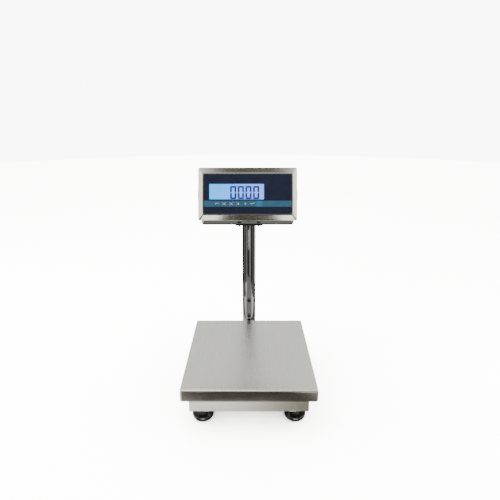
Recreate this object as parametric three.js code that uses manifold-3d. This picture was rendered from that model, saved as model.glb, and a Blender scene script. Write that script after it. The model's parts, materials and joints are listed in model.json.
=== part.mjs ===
// Stainless steel platform scale with a column-mounted weighing indicator.
// Millimetres, +Z up, the front of the scale faces -Y, the floor is Z = 0.
// The platform is centred on X = 0; the footprint's centre is the origin.

import * as THREE from 'three';
import { mergeVertices } from 'three/addons/utils/BufferGeometryUtils.js';
import Module from 'manifold-3d';

const wasm = await Module();
wasm.setup();

// ---------------------------------------------------------------- dimensions

const GAP = 0.3; // assembly clearance between pieces that touch

const TRAY = { size: 304, top: 101, sheet: 2, skirt: 27.5, bend: 4, corner: 5 };
const BASE = { size: 270, bottom: 32, height: 32, rail: 50, wall: 2, corner: 3 };
const FOOT = {
  insetX: 29, insetY: 25, padRadius: 25, padHeight: 15, bowl: 11, chamfer: 1.5, socketFloor: 8,
  studRadius: 5, studTop: 57, hexFlats: 17, hexHeight: 6, nutHeight: 7.5, holeRadius: 5.5,
};
const STOP = { x: 80, y: 110, top: 81.3, radius: 4, length: 21, hexFlats: 13, hexHeight: 6.5 };
const CELL = {
  length: 130, width: 30, height: 22, bottom: 56.3, end: 30,
  holeRadius: 7.5, holeSpread: 12, slot: 6, travel: 0.5,
};
const CROSS = { depth: 55, centreY: 47.5, height: 19.7, wall: 3 };
const FRAME = {
  bottom: 82.3, beamX: 80, beamWidth: 25, beamHeight: 11.7, beamLength: 240, wall: 1.5,
  plateDepth: 150, plateHeight: 5.7,
};
const BUFFER = { y: 105, radius: 10, height: 4.4, edge: 0.8 };
const BRACKET = { width: 100, depth: 66, bottom: 35, top: 63, sheet: 3 };
const COLUMN = { y: 176, radius: 19, wall: 2, top: 386.7, spigotTop: 191, screwLow: 112, screwHigh: 160.5 };
const HEAD = { width: 76, depth: 50, thickness: 4, boltX: 27, boltY: 168, cableHole: 7 };
const ARM = { inner: 122, outer: 125, depth: 40, centreY: 165.2, bend: 5, pivotHole: 4.5 };
const LEVEL = { x: 34, y: 168, radius: 11, height: 8, floor: 3, vialRadius: 7.7 };
const SCREW = { radius: 3, length: 9, headRadius: 6, crownRadius: 4.2, headHeight: 3.6 };
const BOLT = { radius: 3, hexFlats: 10, hexHeight: 4, below: 7 };

// The indicator is drawn in its own face frame: x across, y up the face, z out
// of the face, with z = 0 on the front of the bezel. It hangs in its bracket a
// little to the left of the column.
const FACE = { x: -3.5, y: 122.7, z: 481.25, lean: 14.2 };
const SHELL = { halfWidth: 130, halfHeight: 69.75, lip: 15, bevel: 5, sheet: 2, corner: 4 };
const WINDOW = { halfWidth: 115, halfHeight: 51.8, corner: 3 };
const REAR = { halfWidth: 118.5, halfHeight: 58, back: 72, shoulder: 60, taper: 10.5, corner: 6 };
const DISPLAY = { x: -28.9, y: 6.1, halfWidth: 71.4, halfHeight: 20, margin: 4 };
const KEY = { count: 6, firstX: -79.75, pitch: 18.5, y: -25.5, width: 14, height: 11, corner: 1.5 };
const PIVOT = { y: -2, z: -44, bossRadius: 9, bore: 4.3 };
const PANEL = { front: -0.5, step: -2.3, back: -4.2, flange: 1.8 };
const BOARD = { halfWidth: 100, halfHeight: 45, face: -11, thickness: 1.6, postX: 94, postY: 40, postRadius: 3 };
const TERMINALS = { x: [58, 92], y: [-12, -2], height: 12 };
const SWITCH = { half: 3, top: -7.5 };
const BATTERY = {
  x: [-50, 50], y: [-40, 30], depth: 44, terminalX: [-36, -24], terminalY: [18, 24], terminalTop: 49,
};
const KNOB = { radius: 18, thickness: 9, bevel: 1.5, lobes: 7, lobeDepth: 1.6, studRadius: 4, studLength: 15 };
const GLAND = { thread: 6, hex: 9.5, nut: 8.8, bore: 3, length: 17, baseX: 75, rearX: 70, rearY: -28 };

const RAIL_TOP = BASE.bottom + BASE.height;
const STRAP_BOTTOM = COLUMN.top + GAP + HEAD.thickness + GAP;
const STRAP_TOP = STRAP_BOTTOM + ARM.outer - ARM.inner;
const SIDES = [['left', -1], ['right', 1]];
const CORNERS = [
  ['front_left', -1, -1],
  ['front_right', 1, -1],
  ['rear_left', -1, 1],
  ['rear_right', 1, 1],
];

// ----------------------------------------------------------------- materials

const steel = (color, roughness) => new THREE.MeshStandardMaterial({ color, roughness, metalness: 1 });
const plain = (color, roughness) => new THREE.MeshStandardMaterial({ color, roughness, metalness: 0 });

const MATERIAL = {
  satinSteel: steel(0xbebeb6, 0.35),
  framedSteel: steel(0xb4b4ae, 0.4),
  polishedSteel: steel(0xd8d8d8, 0.08),
  aluminium: steel(0xc9cacc, 0.35),
  zincSteel: steel(0xa9abae, 0.3),
  blackPlastic: plain(0x17181a, 0.35),
  blackRubber: plain(0x141414, 0.6),
  navyPanel: plain(0x212b42, 0.3),
  tealKeys: plain(0x42738c, 0.35),
  paleDisplay: plain(0xa8c4ee, 0.15),
  clearVial: plain(0xc6e07a, 0.1),
  greenBoard: plain(0x1f5a3a, 0.5),
  greyBattery: plain(0x3a3d42, 0.5),
};

// ------------------------------------------------------------- solid helpers

function toSolid(geometry) {
  const bare = geometry.clone();
  bare.deleteAttribute('normal');
  bare.deleteAttribute('uv');
  const merged = mergeVertices(bare, 1e-4);
  return new wasm.Manifold(new wasm.Mesh({
    numProp: 3,
    vertProperties: new Float32Array(merged.attributes.position.array),
    triVerts: new Uint32Array(merged.index.array),
  }));
}

function toGeometry(solid) {
  const { vertProperties, triVerts } = solid.getMesh();
  const geometry = new THREE.BufferGeometry();
  geometry.setAttribute('position', new THREE.BufferAttribute(vertProperties, 3));
  geometry.setIndex(new THREE.BufferAttribute(triVerts, 1));
  return geometry;
}

function cut(geometry, ...tools) {
  return toGeometry(tools.reduce((solid, tool) => solid.subtract(toSolid(tool)), toSolid(geometry)));
}

function join(geometry, ...others) {
  return toGeometry(others.reduce((solid, other) => solid.add(toSolid(other)), toSolid(geometry)));
}

function keepCommon(geometry, other) {
  return toGeometry(toSolid(geometry).intersect(toSolid(other)));
}

// A block between two corners, given as pairs of limits on each axis.
function block([x0, x1], [y0, y1], [z0, z1]) {
  const geometry = new THREE.BoxGeometry(x1 - x0, y1 - y0, z1 - z0);
  return geometry.translate((x0 + x1) / 2, (y0 + y1) / 2, (z0 + z1) / 2);
}

// A round or regular polygonal bar along Z.
function bar(radius, from, to, sides = 24) {
  return new THREE.CylinderGeometry(radius, radius, to - from, sides)
    .rotateX(Math.PI / 2)
    .translate(0, 0, (from + to) / 2);
}

// Turn a shape drawn along Z to run along Y or X.
const alongY = (geometry) => geometry.rotateX(-Math.PI / 2);
const alongX = (geometry) => geometry.rotateY(Math.PI / 2);

// The corner radius of a hexagon with this distance across its flats.
const hexRadius = (flats) => flats / Math.sqrt(3);

// A solid turned about Z from a profile of (radius, height) pairs, listed up
// the outside; it starts and ends on the axis, or closes on itself.
function turned(profile, segments = 24) {
  const points = profile.map(([radius, height]) => new THREE.Vector2(radius, height));
  return new THREE.LatheGeometry(points, segments).rotateX(Math.PI / 2);
}

// The points of a quarter or other arc, for use inside a profile.
function arc(centreX, centreY, radius, startDegrees, endDegrees, steps) {
  return Array.from({ length: steps + 1 }, (_, index) => {
    const angle = THREE.MathUtils.degToRad(startDegrees + ((endDegrees - startDegrees) * index) / steps);
    return [centreX + radius * Math.cos(angle), centreY + radius * Math.sin(angle)];
  });
}

function roundedRectangle(halfWidth, halfHeight, radius) {
  const x = halfWidth - radius;
  const y = halfHeight - radius;
  const quarter = Math.PI / 2;
  return new THREE.Shape()
    .absarc(x, -y, radius, -quarter, 0)
    .absarc(x, y, radius, 0, quarter)
    .absarc(-x, y, radius, quarter, 2 * quarter)
    .absarc(-x, -y, radius, 2 * quarter, 3 * quarter);
}

// A rounded rectangle drawn out along Z.
function plate(halfWidth, halfHeight, radius, from, to, curveSegments = 2) {
  const outline = roundedRectangle(halfWidth, halfHeight, radius);
  const options = { depth: to - from, bevelEnabled: false, curveSegments };
  return new THREE.ExtrudeGeometry(outline, options).translate(0, 0, from);
}

// A closed skin through rounded rectangles stacked up Z. Each level is
// [height, halfWidth, halfHeight, cornerRadius].
function loft(levels) {
  const rings = levels.map(([, halfWidth, halfHeight, radius]) => {
    const points = roundedRectangle(halfWidth, halfHeight, radius).getPoints(2);
    return points[0].distanceTo(points.at(-1)) < 1e-6 ? points.slice(0, -1) : points;
  });
  const count = rings[0].length;
  const positions = rings.flatMap((ring, level) => (
    ring.flatMap((point) => [point.x, point.y, levels[level][0]])
  ));
  const index = [];
  for (let level = 0; level + 1 < rings.length; level += 1) {
    for (let step = 0; step < count; step += 1) {
      const a = level * count + step;
      const b = level * count + ((step + 1) % count);
      index.push(a, b, b + count, a, b + count, a + count);
    }
  }
  const topStart = (rings.length - 1) * count;
  THREE.ShapeUtils.triangulateShape(rings[0], []).forEach(([a, b, c]) => index.push(a, c, b));
  THREE.ShapeUtils.triangulateShape(rings.at(-1), []).forEach(([a, b, c]) => {
    index.push(topStart + a, topStart + b, topStart + c);
  });
  const geometry = new THREE.BufferGeometry();
  geometry.setAttribute('position', new THREE.Float32BufferAttribute(positions, 3));
  geometry.setIndex(index);
  return geometry;
}

function piece(name, geometry, material) {
  const mesh = new THREE.Mesh(geometry, material);
  mesh.name = name;
  return mesh;
}

// A cable gland on Z, its flange seated at z = 0 and its thread below it.
function glandGeometry() {
  const { thread, hex, nut, bore, length } = GLAND;
  return turned([
    [bore, -7], [thread, -7], [thread, 0], [hex, 0], [hex, 4.5], [nut, 5.5],
    [nut, 11.5], [thread, length], [bore, length], [bore, -7],
  ], 16);
}

// ------------------------------------------------------------------ platform

function makeTray() {
  const { size, top, sheet, skirt, bend, corner } = TRAY;
  const half = size / 2;
  const outer = [[top - skirt, half, half, corner]];
  for (const [offset, height] of arc(half - bend, top - bend, bend, 0, 90, 3)) {
    outer.push([height, offset, offset, corner + offset - half]);
  }
  const inner = half - sheet;
  const hollow = plate(inner, inner, 1, top - skirt - 1, top - sheet);
  return piece('load_tray', cut(loft(outer), hollow), MATERIAL.satinSteel);
}

function makeLoadFrame() {
  const { bottom, beamX, beamWidth, beamHeight, beamLength, plateDepth, plateHeight, wall } = FRAME;
  const top = bottom + beamHeight;
  const halfLength = beamLength / 2;
  const beams = SIDES.map(([side, sign]) => {
    const x0 = sign * beamX - beamWidth / 2;
    const x1 = sign * beamX + beamWidth / 2;
    const tube = cut(
      block([x0, x1], [-halfLength, halfLength], [bottom, top]),
      block([x0 + wall, x1 - wall], [-halfLength - 1, halfLength + 1], [bottom + wall, top - wall]),
    );
    return piece(`load_frame_beam_${side}`, tube, MATERIAL.framedSteel);
  });
  const plateX = beamX - beamWidth / 2 - GAP;
  const web = block([-plateX, plateX], [-plateDepth / 2, plateDepth / 2], [bottom, bottom + plateHeight]);
  const buffers = CORNERS.map(([corner, x, y]) => {
    const { radius, height, edge } = BUFFER;
    const base = top + GAP;
    const pad = turned([
      [0, base], [radius, base], [radius, base + height - edge],
      [radius - edge, base + height], [0, base + height],
    ], 20);
    return piece(`tray_buffer_${corner}`, pad.translate(x * beamX, y * BUFFER.y, 0), MATERIAL.blackRubber);
  });
  return [...beams, piece('load_frame_plate', web, MATERIAL.framedSteel), ...buffers];
}

function makeLoadCell() {
  const { length, width, height, bottom, end, holeRadius, holeSpread, slot, travel } = CELL;
  const half = width / 2;
  const middle = bottom + height / 2;
  const bores = [-holeSpread, holeSpread].map((y) => (
    alongX(bar(holeRadius, -half - 1, half + 1, 20)).translate(0, y, middle)
  ));
  const neck = block([-half - 1, half + 1], [-holeSpread, holeSpread], [middle - slot / 2, middle + slot / 2]);
  const body = block([-half, half], [-length / 2, length / 2], [bottom, bottom + height]);
  const crossTop = BASE.bottom + GAP + CROSS.height;
  const lower = block([-half, half], [length / 2 - end, length / 2], [crossTop + GAP, bottom - GAP]);
  const spacerBottom = bottom + height + travel + GAP;
  const upper = block([-half, half], [-length / 2, end - length / 2], [spacerBottom, FRAME.bottom - GAP]);
  return [
    piece('load_cell', cut(body, neck, ...bores), MATERIAL.aluminium),
    piece('load_cell_spacer_lower', lower, MATERIAL.zincSteel),
    piece('load_cell_spacer_upper', upper, MATERIAL.zincSteel),
  ];
}

// ---------------------------------------------------------------------- base

// A closed-end box rail along X whose section is rounded at its long edges.
function makeEndRail(name, sign) {
  const { size, bottom, rail, height, wall, corner } = BASE;
  const half = size / 2;
  const y = sign * (half - rail / 2);
  const middle = bottom + height / 2;
  const outer = alongX(plate(height / 2, rail / 2, corner, -half, half)).translate(0, y, middle);
  const hollow = block(
    [wall - half, half - wall],
    [y - rail / 2 + wall, y + rail / 2 - wall],
    [bottom + wall, bottom + height - wall],
  );
  const studHoles = [-1, 1].map((side) => (
    bar(FOOT.holeRadius, bottom - 1, bottom + wall + 1, 20).translate(side * (half - FOOT.insetX), y, 0)
  ));
  const stopHoles = [-1, 1].map((side) => (
    bar(STOP.radius + GAP, RAIL_TOP - wall - 1, RAIL_TOP + 1, 16).translate(side * STOP.x, y, 0)
  ));
  return { geometry: cut(outer, hollow, ...studHoles, ...stopHoles), name };
}

function makeBase() {
  const { size, bottom, rail, height, wall, corner } = BASE;
  const half = size / 2;
  const front = makeEndRail('base_rail_front', -1);
  const rear = makeEndRail('base_rail_rear', 1);
  const middle = bottom + height / 2;
  const glandHole = alongY(bar(GLAND.thread + GAP, -wall - 1, 1, 20)).translate(GLAND.baseX, half, middle);
  const sideLength = half - rail - GAP;
  const sides = SIDES.map(([side, sign]) => {
    const x = sign * (half - rail / 2);
    const outline = plate(rail / 2, height / 2, corner, -sideLength, sideLength);
    const outer = alongY(outline).translate(x, 0, middle);
    const hollow = block(
      [x - rail / 2 + wall, x + rail / 2 - wall],
      [-sideLength - 1, sideLength + 1],
      [bottom + wall, RAIL_TOP - wall],
    );
    return piece(`base_rail_${side}`, cut(outer, hollow), MATERIAL.framedSteel);
  });
  const crossX = half - rail - GAP;
  const { depth, centreY, height: crossHeight, wall: crossWall } = CROSS;
  const crossBottom = bottom + GAP;
  const crossTop = crossBottom + crossHeight;
  const cross = cut(
    block([-crossX, crossX], [centreY - depth / 2, centreY + depth / 2], [crossBottom, crossTop]),
    block(
      [-crossX - 1, crossX + 1],
      [centreY - depth / 2 + crossWall, centreY + depth / 2 - crossWall],
      [crossBottom + crossWall, crossTop - crossWall],
    ),
  );
  const gland = alongY(glandGeometry()).translate(GLAND.baseX, half + GAP, middle);
  return [
    piece(front.name, front.geometry, MATERIAL.framedSteel),
    piece(rear.name, cut(rear.geometry, glandHole), MATERIAL.framedSteel),
    ...sides,
    piece('base_cross_member', cross, MATERIAL.framedSteel),
    piece('base_cable_gland', gland, MATERIAL.blackPlastic),
  ];
}

function makeOverloadStops() {
  const hexFrom = RAIL_TOP + GAP;
  return CORNERS.map(([corner, x, y]) => {
    const stud = bar(STOP.radius, STOP.top - STOP.length, STOP.top, 16);
    const nut = bar(hexRadius(STOP.hexFlats), hexFrom, hexFrom + STOP.hexHeight, 6);
    const stop = join(stud, nut).translate(x * STOP.x, y * STOP.y, 0);
    return piece(`overload_stop_${corner}`, stop, MATERIAL.zincSteel);
  });
}

function makeFeet() {
  const { padRadius, padHeight, bowl, chamfer, socketFloor, studRadius, hexFlats } = FOOT;
  const x = BASE.size / 2 - FOOT.insetX;
  const y = BASE.size / 2 - FOOT.insetY;
  const socket = studRadius + 2 * GAP;
  return CORNERS.flatMap(([corner, signX, signY]) => {
    const pad = turned([
      [0, 0],
      ...arc(padRadius - bowl, bowl, bowl, -90, 0, 4),
      [padRadius, padHeight - chamfer],
      [padRadius - chamfer, padHeight],
      [socket, padHeight],
      [socket, socketFloor],
      [0, socketFloor],
    ]);
    const stud = join(
      bar(studRadius, socketFloor + GAP, FOOT.studTop, 16),
      bar(hexRadius(hexFlats), padHeight + GAP, padHeight + FOOT.hexHeight, 6),
    );
    const nut = cut(
      bar(hexRadius(hexFlats), BASE.bottom - FOOT.nutHeight, BASE.bottom - GAP, 6),
      bar(studRadius + GAP, BASE.bottom - FOOT.nutHeight - 1, BASE.bottom + 1, 16),
    );
    const place = (geometry) => geometry.translate(signX * x, signY * y, 0);
    return [
      piece(`foot_pad_${corner}`, place(pad), MATERIAL.blackRubber),
      piece(`foot_stud_${corner}`, place(stud), MATERIAL.zincSteel),
      piece(`foot_lock_nut_${corner}`, place(nut), MATERIAL.zincSteel),
    ];
  });
}

// -------------------------------------------------------------------- column

function tube(outer, inner, from, to, segments) {
  return turned([[inner, from], [outer, from], [outer, to], [inner, to], [inner, from]], segments);
}

function makeColumn() {
  const { y, radius, wall, top, spigotTop, screwLow, screwHigh } = COLUMN;
  const seat = BRACKET.top + GAP;
  const bore = radius - wall - GAP;
  const heights = [['lower', screwLow], ['upper', screwHigh]];
  const holes = heights.map(([, z]) => alongY(bar(SCREW.radius + GAP, -radius - 2, 0, 16)).translate(0, 0, z));
  const mast = cut(tube(radius, radius - wall, seat, top, 32), ...holes).translate(0, y, 0);
  const spigot = cut(tube(bore, bore - 3, seat, spigotTop, 32), ...holes).translate(0, y, 0);
  const screws = heights.map(([place, z]) => {
    const head = radius + GAP;
    const screw = turned([
      [0, head - SCREW.length], [SCREW.radius, head - SCREW.length], [SCREW.radius, head],
      [SCREW.headRadius, head], [SCREW.headRadius, head + 1],
      [SCREW.crownRadius, head + SCREW.headHeight - 0.7], [0, head + SCREW.headHeight],
    ], 16).rotateX(Math.PI / 2);
    return piece(`column_screw_${place}`, screw.translate(0, y, z), MATERIAL.blackPlastic);
  });
  return [
    piece('column_tube', mast, MATERIAL.polishedSteel),
    piece('column_spigot', spigot, MATERIAL.zincSteel),
    ...screws,
  ];
}

function makeColumnBracket() {
  const { width, depth, bottom, top, sheet } = BRACKET;
  const front = BASE.size / 2 + GAP;
  const half = width / 2;
  const channel = cut(
    block([-half, half], [front, front + depth], [bottom, top]),
    block([sheet - half, half - sheet], [front + sheet, front + depth - sheet], [bottom - 1, top - sheet]),
  );
  return piece('column_bracket', channel, MATERIAL.framedSteel);
}

function makeBubbleLevel() {
  const { x, y, radius, height, floor, vialRadius } = LEVEL;
  const seat = BRACKET.top + GAP;
  const top = seat + height;
  const well = vialRadius + GAP;
  const cup = turned([
    [0, seat], [radius, seat], [radius, top - 1], [radius - 1, top],
    [well, top], [well, seat + floor], [0, seat + floor],
  ], 24);
  const vialBottom = seat + floor + GAP;
  const vial = turned([[0, vialBottom], [vialRadius, vialBottom], [vialRadius, top - 1], [0, top - 0.4]], 24);
  return [
    piece('bubble_level_housing', cup.translate(x, y, 0), MATERIAL.aluminium),
    piece('bubble_level_vial', vial.translate(x, y, 0), MATERIAL.clearVial),
  ];
}

// A U of bent strip seen from the front, as a closed outline.
function strapOutline() {
  const { inner, outer, bend } = ARM;
  const top = FACE.z + 20;
  const outerBend = bend + outer - inner;
  const shape = new THREE.Shape();
  shape.moveTo(outer, top);
  shape.lineTo(inner, top);
  shape.absarc(inner - bend, STRAP_TOP + bend, bend, 0, -Math.PI / 2, true);
  shape.absarc(bend - inner, STRAP_TOP + bend, bend, -Math.PI / 2, -Math.PI, true);
  shape.lineTo(-inner, top);
  shape.lineTo(-outer, top);
  shape.absarc(outerBend - outer, STRAP_BOTTOM + outerBend, outerBend, Math.PI, 1.5 * Math.PI);
  shape.absarc(outer - outerBend, STRAP_BOTTOM + outerBend, outerBend, -Math.PI / 2, 0);
  return shape;
}

function makeTiltBracket(pivot) {
  const { outer, depth, centreY, pivotHole } = ARM;
  const strip = new THREE.ExtrudeGeometry(strapOutline(), { depth, bevelEnabled: false, curveSegments: 2 })
    .rotateX(Math.PI / 2)
    .translate(FACE.x, centreY + depth / 2, 0);
  const side = new THREE.Shape();
  side.moveTo(-depth / 2, STRAP_BOTTOM - 1);
  side.lineTo(depth / 2, STRAP_BOTTOM - 1);
  side.absarc(0, pivot.z, depth / 2, 0, Math.PI);
  const options = { depth: 2 * outer + 2, bevelEnabled: false, curveSegments: 8 };
  const silhouette = new THREE.ExtrudeGeometry(side, options)
    .rotateX(Math.PI / 2)
    .rotateZ(Math.PI / 2)
    .translate(FACE.x - outer - 1, pivot.y, 0);
  const pivotBore = alongX(bar(pivotHole, -outer - 1, outer + 1, 20)).translate(FACE.x, pivot.y, pivot.z);
  const boltHoles = [-1, 1].map((sign) => (
    bar(BOLT.radius + GAP, STRAP_BOTTOM - 1, STRAP_TOP + 1, 16).translate(sign * HEAD.boltX, HEAD.boltY, 0)
  ));
  const cableHole = bar(HEAD.cableHole, STRAP_BOTTOM - 1, STRAP_TOP + 1).translate(0, COLUMN.y, 0);
  const bracket = cut(keepCommon(strip, silhouette), pivotBore, cableHole, ...boltHoles);
  return piece('tilt_bracket', bracket, MATERIAL.satinSteel);
}

function makeColumnHead() {
  const { width, depth, thickness, boltX, boltY, cableHole } = HEAD;
  const bottom = COLUMN.top + GAP;
  const holes = [-1, 1].map((sign) => (
    bar(BOLT.radius + GAP, bottom - 1, bottom + thickness + 1, 16).translate(sign * boltX, boltY, 0)
  ));
  const cable = bar(cableHole, bottom - 1, bottom + thickness + 1).translate(0, COLUMN.y, 0);
  const flat = plate(width / 2, depth / 2, 5, bottom, bottom + thickness).translate(0, COLUMN.y, 0);
  const bolts = SIDES.map(([side, sign]) => {
    const seat = STRAP_TOP + GAP;
    const bolt = join(
      bar(BOLT.radius, bottom - BOLT.below, seat + 1, 16),
      bar(hexRadius(BOLT.hexFlats), seat, seat + BOLT.hexHeight, 6),
    );
    return piece(`head_bolt_${side}`, bolt.translate(sign * boltX, boltY, 0), MATERIAL.zincSteel);
  });
  return [piece('column_head_plate', cut(flat, cable, ...holes), MATERIAL.satinSteel), ...bolts];
}

// ----------------------------------------------------------------- indicator

function makeFrontShell() {
  const { halfWidth, halfHeight, lip, bevel, sheet, corner } = SHELL;
  const rimWidth = WINDOW.halfWidth + 3;
  const rimHeight = WINDOW.halfHeight + 3;
  const outer = loft([
    [-lip, halfWidth, halfHeight, corner],
    [-bevel, halfWidth, halfHeight, corner],
    [0, rimWidth, rimHeight, 3],
  ]);
  const hollow = loft([
    [-lip - 1, halfWidth - sheet, halfHeight - sheet, corner - 1.5],
    [-bevel - 1.4, halfWidth - sheet, halfHeight - sheet, corner - 1.5],
    [-sheet + 0.1, rimWidth - 0.8, rimHeight - 0.6, 2.4],
  ]);
  const opening = plate(WINDOW.halfWidth, WINDOW.halfHeight, WINDOW.corner, -lip, 1);
  return piece('indicator_front_shell', cut(outer, hollow, opening), MATERIAL.satinSteel);
}

const keyX = (index) => KEY.firstX + index * KEY.pitch;

function makeKeypadPanel() {
  const { x, y, halfWidth, halfHeight } = DISPLAY;
  const { front, step, back, flange: edge } = PANEL;
  const face = plate(WINDOW.halfWidth - GAP, WINDOW.halfHeight - GAP, WINDOW.corner - GAP, step, front);
  const flange = plate(WINDOW.halfWidth + edge, WINDOW.halfHeight + edge, WINDOW.corner, back, step + 0.1);
  const screen = plate(halfWidth + GAP, halfHeight + GAP, 1, -5, 0).translate(x, y, 0);
  const keyHoles = Array.from({ length: KEY.count }, (_, index) => {
    const hole = plate(KEY.width / 2 + GAP, KEY.height / 2 + GAP, KEY.corner + GAP, -5, 0, 1);
    return hole.translate(keyX(index), KEY.y, 0);
  });
  return piece('indicator_keypad_panel', cut(join(face, flange), screen, ...keyHoles), MATERIAL.navyPanel);
}

function makeKeys() {
  return Array.from({ length: KEY.count }, (_, index) => {
    const cap = plate(KEY.width / 2, KEY.height / 2, KEY.corner, -3.2, -0.3, 1);
    const plunger = bar(2, -6.8, -3.1, 12);
    const key = join(cap, plunger).translate(keyX(index), KEY.y, 0);
    return piece(`key_${index + 1}`, key, MATERIAL.tealKeys);
  });
}

function makeDisplay() {
  const { x, y, halfWidth, halfHeight, margin } = DISPLAY;
  const glass = plate(halfWidth, halfHeight, 1, -5, -1.2);
  const body = plate(halfWidth + margin, halfHeight + margin, 1, -9.5, -4.5);
  return piece('indicator_display', join(glass, body).translate(x, y, 0), MATERIAL.paleDisplay);
}

function makeMainBoard() {
  const { halfWidth, halfHeight, face, thickness, postX, postY, postRadius } = BOARD;
  const card = block([-halfWidth, halfWidth], [-halfHeight, halfHeight], [face - thickness, face]);
  const posts = CORNERS.map(([, x, y]) => (
    bar(postRadius, face - 0.5, PANEL.back - GAP, 12).translate(x * postX, y * postY, 0)
  ));
  const { half, top } = SWITCH;
  const switches = Array.from({ length: KEY.count }, (_, index) => (
    block([keyX(index) - half, keyX(index) + half], [KEY.y - half, KEY.y + half], [face - 0.5, top])
  ));
  const terminals = block(TERMINALS.x, TERMINALS.y, [face - TERMINALS.height, face - 1]);
  return piece('indicator_main_board', join(card, terminals, ...posts, ...switches), MATERIAL.greenBoard);
}

function makeRearShell() {
  const { halfWidth, halfHeight, back, shoulder, taper, corner } = REAR;
  const { sheet } = SHELL;
  const flangeBack = -12.3;
  const outer = loft([
    [-back, halfWidth - taper, halfHeight - taper, corner - 2],
    [-shoulder, halfWidth, halfHeight, corner],
    [flangeBack + 1, halfWidth, halfHeight, corner],
  ]);
  const flange = plate(SHELL.halfWidth - 2.6, SHELL.halfHeight - 2.6, 2.5, flangeBack, flangeBack + sheet);
  const hollow = loft([
    [sheet - back, halfWidth - taper - 1.2, halfHeight - taper - 1.2, corner - 3],
    [-shoulder + 0.6, halfWidth - sheet, halfHeight - sheet, corner - sheet],
    [0, halfWidth - sheet, halfHeight - sheet, corner - sheet],
  ]);
  const bossTop = ARM.inner - GAP;
  const bosses = [-1, 1].map((sign) => (
    alongX(bar(PIVOT.bossRadius, halfWidth - 4, bossTop, 20))
      .rotateZ(sign < 0 ? Math.PI : 0)
      .translate(0, PIVOT.y, PIVOT.z)
  ));
  const bore = alongX(bar(PIVOT.bore, -bossTop - 1, bossTop + 1, 16)).translate(0, PIVOT.y, PIVOT.z);
  const glandHole = bar(GLAND.thread + GAP, -back - 1, sheet - back + 1, 20)
    .translate(GLAND.rearX, GLAND.rearY, 0);
  const shell = join(cut(join(outer, flange), hollow), ...bosses);
  return piece('indicator_rear_shell', cut(shell, bore, glandHole), MATERIAL.satinSteel);
}

function makeGasket() {
  const outer = plate(SHELL.halfWidth - 2.8, SHELL.halfHeight - 2.8, 2.4, -10, -7.2);
  const hole = plate(SHELL.halfWidth - 9, SHELL.halfHeight - 9, 2, -11, -6);
  return piece('indicator_gasket', cut(outer, hole), MATERIAL.blackRubber);
}

function makeBattery() {
  const rear = SHELL.sheet + GAP - REAR.back;
  const { x, y, depth, terminalX, terminalY, terminalTop } = BATTERY;
  const pack = block(x, y, [rear, rear + depth]);
  const terminals = terminalX.map((centre) => (
    block([centre - 3, centre + 3], terminalY, [rear + depth - 1, rear + terminalTop])
  ));
  return piece('indicator_battery', join(pack, ...terminals), MATERIAL.greyBattery);
}

function makeIndicatorGland() {
  const gland = glandGeometry().rotateX(Math.PI).translate(GLAND.rearX, GLAND.rearY, -REAR.back - GAP);
  return piece('indicator_cable_gland', gland, MATERIAL.blackPlastic);
}

// A lobed hand knob on +X with its clamping stud running inwards.
function makeKnob(name, sign) {
  const { radius, thickness, bevel, lobes, lobeDepth, studRadius, studLength } = KNOB;
  const mean = radius - lobeDepth;
  const points = Array.from({ length: lobes * 6 }, (_, index) => {
    const angle = (index / (lobes * 6)) * 2 * Math.PI;
    const reach = mean + lobeDepth * Math.cos(lobes * angle);
    return new THREE.Vector2(reach * Math.cos(angle), reach * Math.sin(angle));
  });
  const seat = ARM.outer + GAP;
  const grip = new THREE.ExtrudeGeometry(new THREE.Shape(points), {
    depth: thickness - 2 * bevel,
    bevelSize: bevel,
    bevelThickness: bevel,
    bevelOffset: -bevel,
    bevelSegments: 1,
  }).translate(0, 0, seat + bevel);
  const stud = bar(studRadius, seat - studLength, seat + 2, 16);
  const knob = alongX(join(grip, stud)).rotateZ(sign < 0 ? Math.PI : 0);
  return piece(name, knob.translate(0, PIVOT.y, PIVOT.z), MATERIAL.blackPlastic);
}

// ------------------------------------------------------------------ assembly

const indicator = new THREE.Group();
indicator.position.set(FACE.x, FACE.y, FACE.z);
indicator.rotation.x = THREE.MathUtils.degToRad(90 - FACE.lean);
indicator.add(
  makeFrontShell(), makeKeypadPanel(), makeDisplay(), makeMainBoard(), makeRearShell(), makeGasket(),
  makeBattery(), makeIndicatorGland(), ...makeKeys(),
  ...SIDES.map(([side, sign]) => makeKnob(`tilt_knob_${side}`, sign)),
);
indicator.updateMatrixWorld();
const pivot = new THREE.Vector3(0, PIVOT.y, PIVOT.z).applyMatrix4(indicator.matrixWorld);

const scale = new THREE.Group();
scale.add(
  makeTray(), ...makeLoadFrame(), ...makeLoadCell(), ...makeBase(), ...makeOverloadStops(), ...makeFeet(),
  makeColumnBracket(), ...makeBubbleLevel(), ...makeColumn(), ...makeColumnHead(), makeTiltBracket(pivot),
  indicator,
);

// The drawing above centres the platform; the finished object is centred on
// the whole footprint, from the tray's front edge to the back of the indicator.
const footprint = new THREE.Box3().setFromObject(scale, true);
scale.position.y = -(footprint.min.y + footprint.max.y) / 2;

export default scale;
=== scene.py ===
"""Looks of the stainless platform scale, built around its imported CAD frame.

Everything is in metres in the row frame: +Z up, the front faces -Y. The
indicator's pieces are drawn in its face frame: x across, y up the face, z out
of the face, with z = 0 on the front of the bezel.
"""

import json
import math
import random

import bmesh
import bpy
from mathutils import Matrix, Vector


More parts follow.
